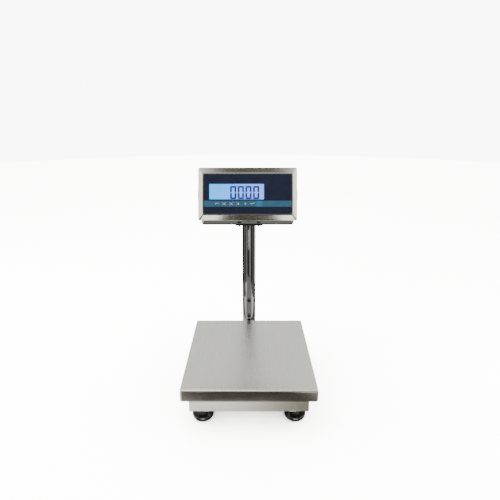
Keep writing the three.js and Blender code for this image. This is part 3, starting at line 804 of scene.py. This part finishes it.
def foot_moulding(radius, height):
    """A glossy bowl on a small flat sole, with a ribbed shoulder and the stud's socket, in millimetres."""
    bowl = 11
    sole = radius - bowl
    socket = 5.6
    floor = 8
    curve = []
    for step in range(1, 12):
        turn = math.radians(90 * step / 12)
        curve.append((sole + bowl * math.sin(turn), bowl - bowl * math.cos(turn), 0))
    return turned([
        (0, 0.5, 0), (sole - 3, 0.5, 0), (sole - 2.4, 0, 0), (sole, 0, 0), *curve, (radius, bowl, 0),
        (radius, height, 1.5), (13, height, 0.5), (12, height - 0.8, 0.3), (10.5, height - 0.8, 0.3),
        (10, height, 0.4), (socket, height, 0.3), (socket, floor, 0), (0, floor, 0),
    ], 5, 120)


def make_feet():
    for corner in CORNERS:
        node = f"foot_pad_{corner}"
        _, high, middle, half = extent(node)
        top = high.z
        place = at(*middle.xy)
        pad = mesh_object(f"{node}_moulding", foot_moulding(half.x / MM, top / MM))
        finish_piece(pad, "foot", node, node, place)

        node = f"foot_stud_{corner}"
        low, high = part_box(node)
        stud = hex_nut(f"{node}_screw", 17 * MM, top + 0.3 * MM, top + 6 * MM)
        shank = round_hole(4.7 * MM, low.z, top + 1.3 * MM, segments=36)
        combine(stud, [shank, threaded_rod(5 * MM, top + 5 * MM, high.z)], "UNION")
        finish_piece(stud, "plated", node, node, place)

        node = f"foot_lock_nut_{corner}"
        low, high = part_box(node)
        nut = hex_nut(f"{node}_hex", 17 * MM, low.z, high.z, 5.3 * MM)
        finish_piece(nut, "plated", "base", node, place)


# ---- column


def make_column():
    low, high, middle, half = extent("column_tube")
    radius = half.x
    bore = radius - 2 * MM
    inner, outer = mm(0.3, 0.6)
    profile = filleted([
        (bore, low.z, inner), (radius, low.z, outer), (radius, high.z, outer), (bore, high.z, inner),
    ], 3)
    tube = mesh_object("column_tube_polished", lathe([*profile, profile[0]], 128))
    screws = ("column_screw_lower", "column_screw_upper")
    holes = [moved(along_y(round_hole(3.3 * MM, -0.03, 0)), (0, 0, centre_of(node).z)) for node in screws]
    combine(tube, holes)
    finish_piece(tube, "polished", "base", "column_tube", at(*middle.xy))
    for node in screws:
        low, _, middle, half = extent(node)
        head = half.x / MM
        seat = 3.6
        tail = seat - 2 * half.y / MM
        screw = mesh_object(f"{node}_button", turned([
            (0, tail, 0), (3, tail, 0.3), (3, 0, 0), (head, 0, 0.3), (head, 0.9, 0.6), (4.4, 2.8, 2.5),
            (2.2, seat, 2), (0, seat, 0),
        ], 5, 64))
        socket = round_hole(2.3 * MM, *mm(1.4, seat + 1), segments=6)
        combine(screw, [socket])
        place = at(middle.x, low.y + seat * MM, middle.z) @ Matrix.Rotation(math.pi / 2, 4, "X")
        finish_piece(screw, "black", "base", node, place)


def paint_shade_on_faces(obj):
    """Paints shade on the cut edges and the upper faces by giving them a darker copy of the steel."""
    obj.data.materials.append(MATERIALS["painted_shade"])
    for polygon in obj.data.polygons:
        normal = polygon.normal
        polygon.material_index = 1 if abs(normal.y) > 0.5 or normal.z > 0.5 else 0


def make_head_plate():
    node = "column_head_plate"
    low, high, middle, half = extent(node)
    bottom, top = low.z - 10 * MM, high.z + 10 * MM
    plate = mesh_object(f"{node}_ground", prism(rectangle(half.x, half.y, 5 * MM, 8), low.z, high.z))
    holes = [round_hole(7 * MM, bottom, top, segments=48)]
    for side, _ in SIDES:
        bolt = centre_of(f"head_bolt_{side}") - middle
        holes.append(round_hole(3.3 * MM, bottom, top, bolt.xy))
    combine(plate, holes)
    soften(plate, 0.5 * MM, 3)
    finish_piece(plate, "rear", "base", node, at(*middle.xy))
    paint_shade_on_faces(plate)


def make_head_bolts():
    for side, _ in SIDES:
        node = f"head_bolt_{side}"
        low, high, middle, _ = extent(node)
        bolt = hex_nut(f"{node}_hex", 10 * MM, high.z - 4 * MM, high.z, chamfer=0.6 * MM)
        combine(bolt, [threaded_rod(3 * MM, low.z, high.z - 3.5 * MM, 1 * MM, 24, 6)], "UNION")
        finish_piece(bolt, "plated", "base", node, at(*middle.xy))


def make_tilt_bracket():
    node = "tilt_bracket"
    low, high, middle, half = extent(node)
    sheet = 3 * MM
    bend = 5 * MM
    pivot = Vector(joints["indicator_tilt"]["pos_m"])
    outer = half.x
    inner = outer - sheet
    floor = low.z + sheet
    round_out = bend + sheet
    outline = filleted([
        (outer, high.z, 0), (inner, high.z, 0), (inner, floor, bend), (-inner, floor, bend),
        (-inner, high.z, 0), (-outer, high.z, 0), (-outer, low.z, round_out), (outer, low.z, round_out),
    ], 8)
    strip = prism([(x, -z) for x, z in outline], -half.y, half.y)
    bmesh.ops.transform(strip, matrix=Matrix.Rotation(-math.pi / 2, 4, "X"), verts=strip.verts)
    bracket = mesh_object("tilt_bracket_strap", moved(strip, (middle.x, middle.y, 0)))
    foot = low.z - pivot.z - 10 * MM
    side = [(-half.y, foot), (half.y, foot), *(polar(half.y, math.pi * step / 32) for step in range(33))]
    silhouette = along_x(prism([(-v, u) for u, v in side], -0.2, 0.2))
    combine(bracket, [moved(silhouette, (0, middle.y, pivot.z))], "INTERSECT")
    tools = [moved(along_x(round_hole(4.5 * MM, -0.2, 0.2, segments=40)), (0, pivot.y, pivot.z))]
    bored = {"head_bolt_left": (3.3, 32), "head_bolt_right": (3.3, 32), "column_tube": (7, 48)}
    for mate, (radius, segments) in bored.items():
        spot = centre_of(mate).xy
        tools.append(round_hole(radius * MM, low.z - 10 * MM, low.z + 10 * MM, spot, segments))
    combine(bracket, tools)
    soften(bracket, 0.4 * MM, 3, 40)
    finish_piece(bracket, "rear", "base", node)
    paint_shade_on_faces(bracket)


# ---- indicator

normal = -Vector(joints["key_1_press"]["axis"]).normalized()
up_face = Vector((0, normal.z, -normal.y))
face_centre = Vector(joints["indicator_tilt"]["pos_m"]) + up_face * 2 * MM + normal * 44 * MM
FACE = Matrix.Translation(face_centre) @ Matrix((
    (1, up_face.x, normal.x, 0),
    (0, up_face.y, normal.y, 0),
    (0, up_face.z, normal.z, 0),
    (0, 0, 0, 1),
))
# The face's own sizes, in millimetres.
SHELL_X = 130
SHELL_Y = 69.75
WINDOW_X = 115
WINDOW_Y = 51.8
SCREEN = (-28.9, 6.1)
SCREEN_X = 71.4
SCREEN_Y = 20
SCREEN_FACE = -1.2
KEY_Y = -25.5
KEY_X = [-79.75 + 18.5 * index for index in range(KEY_COUNT)]
KEY_FACE = -0.3
PANEL_FACE = -0.5
PIVOT_Y = -2
PIVOT_Z = -44
REAR_FACE = -72


def slabs(levels, centre=(0, 0), steps=6):
    """A solid through rounded rectangles: (height, half width, half height, corner), in millimetres."""
    return loft([(z * MM, rectangle(*mm(x, y, corner), steps, mm(*centre))) for z, x, y, corner in levels])


def slab(half_x, half_y, corner, low, high, centre=(0, 0), steps=6):
    """A rounded rectangular plate parallel to the face, in millimetres."""
    return slabs([(low, half_x, half_y, corner), (high, half_x, half_y, corner)], centre, steps)


def make_front_shell():
    shell = mesh_object("front_shell_bezel", slabs([
        (-15, SHELL_X - 0.4, SHELL_Y - 0.4, 4.6),
        (-14.6, SHELL_X, SHELL_Y, 5),
        (-6, SHELL_X, SHELL_Y, 5),
        (-5.2, SHELL_X - 0.25, SHELL_Y - 0.25, 4.9),
        (-4.6, SHELL_X - 0.9, SHELL_Y - 0.9, 4.6),
        (-0.35, WINDOW_X + 3.9, WINDOW_Y + 3.9, 3.4),
        (0, WINDOW_X + 2.6, WINDOW_Y + 2.6, 3.2),
    ]))
    hollow = slabs([
        (-16, SHELL_X - 2, SHELL_Y - 2, 3),
        (-6.4, SHELL_X - 2, SHELL_Y - 2, 3),
        (-1.9, WINDOW_X + 2.2, WINDOW_Y + 2.4, 2.4),
    ])
    combine(shell, [hollow, slab(WINDOW_X, WINDOW_Y, 5, -30, 10)])
    finish_piece(shell, "bezel", "indicator", "indicator_front_shell", FACE, 25)


def key_holes():
    return [slab(7.3, 5.8, 1.8, -10, 10, (x, KEY_Y), 5) for x in KEY_X]


def make_overlay():
    panel = mesh_object("keypad_overlay", slab(114.7, 51.5, 4.7, -2.3, PANEL_FACE))
    combine(panel, [slab(116.8, 53.6, 4, -4.2, -2.25)], "UNION")
    window = slab(SCREEN_X + 0.3, SCREEN_Y + 0.3, 1, -10, 10, SCREEN, 4)
    combine(panel, [window, *key_holes()])
    soften(panel, 0.25 * MM, 2, 40)
    finish_piece(panel, "navy", "indicator", "indicator_keypad_panel", FACE)
    stripe = slab(114.6, 7.9, 0.4, PANEL_FACE, PANEL_FACE + 0.08, (0, KEY_Y), 3)
    band = mesh_object("keypad_teal_band", stripe)
    combine(band, key_holes())
    finish_piece(band, "teal", "indicator", None, FACE)


def make_keys():
    for index, x in enumerate(KEY_X):
        name = f"key_{index + 1}"
        cap = mesh_object(f"{name}_cap", slab(7, 5.5, 1.5, -3.2, KEY_FACE))
        soften(cap, 0.2 * MM, 3, 40)
        combine(cap, [round_hole(2 * MM, *mm(-6.8, -3.1))], "UNION")
        finish_piece(cap, "teal", name, name, FACE @ at(*mm(x, KEY_Y)))


def make_display():
    glass = mesh_object("display_glass", slab(SCREEN_X, SCREEN_Y, 1, -5, SCREEN_FACE, SCREEN, 4))
    combine(glass, [slab(SCREEN_X + 4, SCREEN_Y + 4, 1, -9.5, -4.5, SCREEN, 4)], "UNION")
    finish_piece(glass, "display", "indicator", "indicator_display", FACE)


def zero_digit(centre, width, height, stroke):
    """The six lit segments of a zero, as mitred bars on a seven-segment pattern."""
    x, y = centre
    half = width / 2
    tall = height / 2
    gap = 0.25
    inner = half - stroke
    bars = []
    for rise in (-1, 1):
        outer_y = rise * tall
        inner_y = rise * (tall - stroke)
        bars.append([
            (-half + gap, outer_y), (half - gap, outer_y), (inner - gap, inner_y), (gap - inner, inner_y),
        ])
        for side in (-1, 1):
            bars.append([
                (side * half, rise * (tall - gap)), (side * inner, rise * (tall - stroke - gap)),
                (side * inner, rise * (gap + stroke / 2)), (side * (half - stroke * 0.4), rise * gap),
                (side * half, rise * (gap + stroke * 0.2)),
            ])
    return [[(x + u, y + v) for u, v in bar] for bar in bars]


def flat_marks(name, outlines, low, high):
    """Thin printed or lit shapes, in millimetres, one closed slip for each outline."""
    return joined(name, [prism([mm(*spot) for spot in outline], *mm(low, high)) for outline in outlines])


def make_digits():
    pitch = 20
    centre = -7.8
    outlines = []
    for index in range(4):
        outlines += zero_digit((centre + (index - 1.5) * pitch, 3.6), 16, 34, 4.5)
    digits = flat_marks("display_digits", outlines, SCREEN_FACE - 0.05, SCREEN_FACE + 0.08)
    finish_piece(digits, "digit", "indicator", None, FACE)


def stroke(start, end, width=0.9):
    """A straight pen stroke between two points."""
    a, b = Vector(start), Vector(end)
    along = (b - a).normalized()
    across = Vector((-along.y, along.x)) * width / 2
    return [tuple(a - across), tuple(b - across), tuple(b + across), tuple(a + across)]


def key_symbols():
    """Generic key marks, in millimetres about each key's centre."""
    corners = []
    for x, across in ((-4.6, 1.6), (4.6, -1.6)):
        for y, down in ((-3.7, 1.6), (3.7, -1.6)):
            corners.append(stroke((x, y), (x + across, y), 0.6))
            corners.append(stroke((x, y), (x, y + down), 0.6))
    up = [[(-2.2, -1.5), (2.2, -1.5), (0, 2.3)]]
    right = [[(-1.6, -2.1), (2.2, 0), (-1.6, 2.1)]]
    cross = [stroke((-2, -2), (2, 2)), stroke((-2, 2), (2, -2))]
    dash = [stroke((-5.2, -1.6), (-2.6, 1.2)), stroke((-3.1, 1.2), (5, 1.2))]
    tick = [stroke((-5.4, 2), (-2.4, -1.2)), stroke((-3, -1.2), (5.4, 2.4))]
    return [dash, up + corners, cross + corners, up + corners[:4], right, tick]


def make_key_marks():
    for index, (x, symbol) in enumerate(zip(KEY_X, key_symbols())):
        name = f"key_{index + 1}"
        marks = flat_marks(f"{name}_mark", symbol, KEY_FACE - 0.05, KEY_FACE + 0.06)
        finish_piece(marks, "ink", name, None, FACE @ at(*mm(x, KEY_Y)))


def make_rear_shell():
    shell = mesh_object("rear_shell_housing", slabs([
        (REAR_FACE, 107, 46.5, 4),
        (-71, 108.6, 48.1, 4.6),
        (-61, 117.6, 57.1, 5.8),
        (-59, 118.5, 58, 6),
        (-11.3, 118.5, 58, 6),
    ]))
    combine(shell, [slab(127.4, 67.15, 2.5, -12.3, -10.3)], "UNION")
    hollow = slabs([(-70, 106, 45.6, 3), (-59.4, 116.5, 56, 4), (0, 116.5, 56, 4)])
    combine(shell, [hollow])
    pivot = mm(0, PIVOT_Y, PIVOT_Z)
    ends = (mm(114.5, 121.7), mm(-121.7, -114.5))
    bosses = [moved(along_x(round_hole(9 * MM, *end, segments=48)), pivot) for end in ends]
    combine(shell, bosses, "UNION")
    bore = moved(along_x(round_hole(4.3 * MM, -0.13, 0.13)), pivot)
    gland = FACE.inverted() @ centre_of("indicator_cable_gland")
    gland_hole = round_hole(6.3 * MM, *mm(-80, -65), gland.xy, 40)
    combine(shell, [bore, gland_hole])
    finish_piece(shell, "rear", "indicator", "indicator_rear_shell", FACE, 28)


def lobed(radius, depth, lobes, steps):
    """A round outline with evenly spaced lobes, in millimetres."""
    outline = []
    for step in range(lobes * steps):
        turn = 2 * math.pi * step / (lobes * steps)
        outline.append(polar((radius + depth * math.cos(lobes * turn)) * MM, turn))
    return outline


def make_knobs():
    seat = 125.3
    grip = (
        (0, 0.93), (0.7, 0.985), (1.6, 1), (6.4, 1), (7.9, 0.975), (8.8, 0.92), (9, 0.8), (8.3, 0.6),
        (8.3, 0.3),
    )
    for side, sign in SIDES:
        node = f"tilt_knob_{side}"
        levels = [((seat + rise) * MM, lobed(16.4 * size, 1.6 * size, 7, 14)) for rise, size in grip]
        knob = mesh_object(f"{node}_grip", loft(levels))
        hub = round_hole(7 * MM, *mm(seat + 7, seat + 9), segments=48)
        screw = threaded_rod(4 * MM, *mm(seat - 15, seat + 1, 1.25), 32, 6)
        combine(knob, [hub, screw], "UNION")
        turn = Matrix.Rotation(math.pi / 2 * sign, 4, "Y")
        place = FACE @ at(*mm(0, PIVOT_Y, PIVOT_Z)) @ turn
        finish_piece(knob, "black", node, node, place)


def weld_bead(start, end, radius, seed):
    """A run of overlapping weld ripples between two points."""
    a, b = Vector(start), Vector(end)
    count = max(int((b - a).length / (radius * 0.55)), 2)
    turn = (b - a).to_track_quat("Z", "Y").to_matrix().to_4x4()
    wobble = random.Random(seed)
    rings = []
    for step in range(2 * count + 1):
        spot = a + (b - a) * step / (2 * count)
        swell = 1.0 if step % 2 else 0.82
        at_end = step in (0, 2 * count)
        reach = radius * swell * (0.4 if at_end else 1.0) * wobble.uniform(0.93, 1.05)
        rings.append([spot + turn @ Vector((x, y, 0)) for x, y in circle(reach, 10)])
    return skin(rings)


def make_column_bracket():
    """A folded channel behind the base, with rounded bends."""
    node = "column_bracket"
    low, high, middle, half = extent(node)
    sheet = 3 * MM
    levels = folded_levels(low.z, high.z, half, 4 * MM, mm(4, 4.2), 6)
    channel = mesh_object(f"{node}_folded", loft(levels))
    inner = rectangle(half.x - sheet, half.y - sheet, 1 * MM, 4)
    combine(channel, [prism(inner, low.z - 10 * MM, high.z - sheet)])
    soften(channel, 0.4 * MM, 2, 50)
    finish_piece(channel, "base", "base", node, at(*middle.xy))


def make_column_weld():
    """A rippled ring weld where the column meets its bracket."""
    low, _, middle, half = extent("column_tube")
    ripples = 64
    sides = 8
    ring = bmesh.new()
    rows = []
    for step in range(ripples):
        turn = 2 * math.pi * step / ripples
        swell = 1.5 + 0.25 * math.cos(turn * ripples / 2)
        section = circle(swell * MM, sides)
        rows.append([
            ring.verts.new((*polar(half.x + 1.1 * MM + out, turn), low.z + 1 * MM + up * 0.8))
            for out, up in section
        ])
    stitch(ring, [*rows, rows[0]])
    weld = mesh_object("column_weld", ring)
    finish_piece(weld, "plated", "base", None, at(*middle.xy), 80)


def box_tube(node, along, wall, corner):
    """A rectangular tube with rounded long edges, open at both ends."""
    _, _, middle, half = extent(node)
    tube = mesh_object(f"{node}_tube", bar(along, half, corner, 5, half.x if along == "X" else half.y))
    combine(tube, [bar(along, half - Vector((wall, wall, wall)), corner / 2, 4, 1)])
    soften(tube, 0.3 * MM, 2, 60)
    return tube, at(*middle)


def make_load_beams():
    """The two tubes that carry the tray, welded to the plate on the load cell."""
    plate_low, plate_high, plate_middle, _ = extent("load_frame_plate")
    reach = 14 * MM
    for side, sign in SIDES:
        node = f"load_frame_beam_{side}"
        low, high, _, _ = extent(node)
        beam, place = box_tube(node, "Y", *mm(1.5, 2))
        finish_piece(beam, "base", "load_receptor", node, place)
        inner = low.x if sign > 0 else high.x
        top = plate_high.z
        beads = [
            weld_bead((inner, y - reach, top), (inner, y + reach, top), 1.6 * MM, index)
            for index, y in enumerate((plate_low.y + 20 * MM, plate_middle.y, plate_high.y - 20 * MM))
        ]
        weld = joined(f"{node}_welds", beads)
        finish_piece(weld, "plated", "load_receptor", None, None, 80)


def make_load_plate():
    """The plate on the load cell, with two round cut-outs and the heads of the four cell bolts."""
    node = "load_frame_plate"
    low, high, middle, half = extent(node)
    plate = mesh_object(f"{node}_cut", prism(rectangle(half.x, half.y, 4 * MM, 6), low.z, high.z))
    tools = [round_hole(22 * MM, low.z - 0.01, high.z + 0.01, mm(x, 20), 64) for x in (-36, 36)]
    combine(plate, tools)
    soften(plate, 0.4 * MM, 2, 50)
    place = at(*middle.xy)
    finish_piece(plate, "base", "load_receptor", node, place)
    spacer_low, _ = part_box("load_cell_spacer_upper")
    profile = [(0, -1, 0), (5, -1, 0), (5, 4.4, 0.6), (2.7, 4.4, 0.2), (2.7, 1.6, 0), (0, 1.6, 0)]
    bolts = []
    for x in (-7.5, 7.5):
        for y in (8, 22):
            spot = (x * MM, spacer_low.y + y * MM - middle.y, high.z)
            bolts.append(moved(turned(profile, 3, 40), spot))
    finish_piece(joined("load_cell_bolt_heads", bolts), "plated", "load_receptor", None, place)


def make_cross_member():
    node = "base_cross_member"
    tube, place = box_tube(node, "X", *mm(3, 3))
    finish_piece(tube, "base", "base", node, place)


def gland_body(name):
    """A cable gland on Z: a hexagon flange, a ribbed dome nut and a rubber seal with its bore."""
    flats = 16.4
    edge = flats - 0.8
    rims = ((0, edge), (0.4, flats), (4.1, flats), (4.5, edge))
    flange = loft([(z * MM, hexagon(across * MM)) for z, across in rims])
    shank = [(3, -7), (5.6, -7), (6, -6.4), (6, 0.5), (3, 0.5), (3, -7)]
    seal = [(3, 14), (5.9, 14), (5.9, 16.4), (5.3, 17), (3.5, 17), (3, 16.5), (3, 14)]
    nut = ((4.4, 7.8, 0.1), (5.2, 8.6, 0.5), (10.8, 8.6, 0.5), (12.4, 8, 0.2), (14.6, 6.8, 0))
    dome = loft([(z * MM, lobed(reach - depth / 2, -depth / 2, 18, 8)) for z, reach, depth in nut])
    shank, seal = (lathe([mm(*spot) for spot in profile], 48) for profile in (shank, seal))
    return joined(name, [flange, shank, dome, seal])


def make_glands():
    low, _, middle, _ = extent("base_cable_gland")
    gland = gland_body("base_cable_gland_body")
    place = at(middle.x, low.y + 7 * MM, middle.z) @ Matrix.Rotation(-math.pi / 2, 4, "X")
    finish_piece(gland, "black", "base", "base_cable_gland", place)
    spot = FACE.inverted() @ centre_of("indicator_cable_gland")
    gland = gland_body("indicator_cable_gland_body")
    seat = (REAR_FACE - 0.3) * MM
    place = FACE @ at(spot.x, spot.y, seat) @ Matrix.Rotation(math.pi, 4, "X")
    finish_piece(gland, "black", "indicator", "indicator_cable_gland", place)


def make_bubble_level():
    """A turned cup with a ringed vial and its bubble."""
    node = "bubble_level_housing"
    low, _, middle, half = extent(node)
    radius = half.x / MM
    neck = radius - 0.5
    top = 2 * half.z / MM
    cup = mesh_object(f"{node}_cup", turned([
        (0, 0, 0), (radius, 0, 0.4), (radius, 2, 0), (neck, 2.4, 0), (neck, 3.2, 0), (radius, 3.6, 0),
        (radius, top, 0.9), (8, top, 0.3), (8, 3, 0), (0, 3, 0),
    ], 4, 80))
    finish_piece(cup, "aluminium", "base", node, at(middle.x, middle.y, low.z))

    node = "bubble_level_vial"
    low, _, _, half = extent(node)
    place = at(middle.x, middle.y, low.z)
    top = 2 * half.z
    crown = 0.6 * MM
    curve = [math.pi * step / 16 for step in range(8)]
    dome = [(half.x * math.cos(turn), top - crown + crown * math.sin(turn)) for turn in curve]
    vial = mesh_object(f"{node}_dome", lathe([(0, 0), (half.x, 0), *dome, (0, top)], 64))
    finish_piece(vial, "liquid", "base", node, place)
    ring = mesh_object("bubble_ring", moved(lathe([
        mm(3.3, -0.3), mm(3.7, -0.3), mm(3.7, 0.05), mm(3.3, 0.05), mm(3.3, -0.3),
    ], 64), (0, 0, top)))
    finish_piece(ring, "black", "base", None, place)
    bubble = bmesh.new()
    bmesh.ops.create_uvsphere(bubble, u_segments=32, v_segments=16, radius=2.3 * MM)
    bmesh.ops.scale(bubble, vec=(1, 1, 0.25), verts=bubble.verts)
    bubble = mesh_object("level_bubble", moved(bubble, (0.5 * MM, 0.3 * MM, top - 0.25 * MM)))
    finish_piece(bubble, "bubble", "base", None, place)


def make_rear_screws():
    """Countersunk cross-slot screws that hold the rear cover."""
    profile = [(0, 0.4, 0), (3.4, 0.4, 0), (3.4, -0.2, 0.2), (2.6, -1.1, 0.6), (0, -1.5, 0)]
    heads = []
    slots = []
    for x in (-92, -31, 31, 92):
        for y in (-34, 34):
            heads.append(moved(turned(profile, 3, 40), mm(x, y, REAR_FACE)))
            for half_x, half_y in ((2, 0.35), (0.35, 2)):
                slots.append(slab(half_x, half_y, 0.1, REAR_FACE - 2, REAR_FACE - 0.7, (x, y), 2))
    screws = joined("rear_cover_screws", heads)
    combine(screws, slots)
    finish_piece(screws, "plated", "indicator", None, FACE)


def make_carried_over():
    """CAD nodes whose shape is right keep it and get their own finish."""
    finishes = {
        "column_spigot": "plated", "load_cell_spacer_lower": "plated", "load_cell_spacer_upper": "plated",
        "load_cell": "aluminium", "indicator_gasket": "rubber", "indicator_main_board": "board",
        "indicator_battery": "battery",
    }
    for corner in CORNERS:
        finishes[f"overload_stop_{corner}"] = "plated"
        finishes[f"tray_buffer_{corner}"] = "rubber"
    for name, finish in finishes.items():
        materials = frame["nodes"][name].data.materials
        materials.clear()
        materials.append(MATERIALS[finish])


make_tray()
make_base_rails()
make_feet()
make_column()
make_head_plate()
make_head_bolts()
make_tilt_bracket()
make_front_shell()
make_overlay()
make_keys()
make_display()
make_digits()
make_key_marks()
make_rear_shell()
make_knobs()
make_column_bracket()
make_column_weld()
make_load_beams()
make_load_plate()
make_cross_member()
make_glands()
make_bubble_level()
make_rear_screws()
make_carried_over()
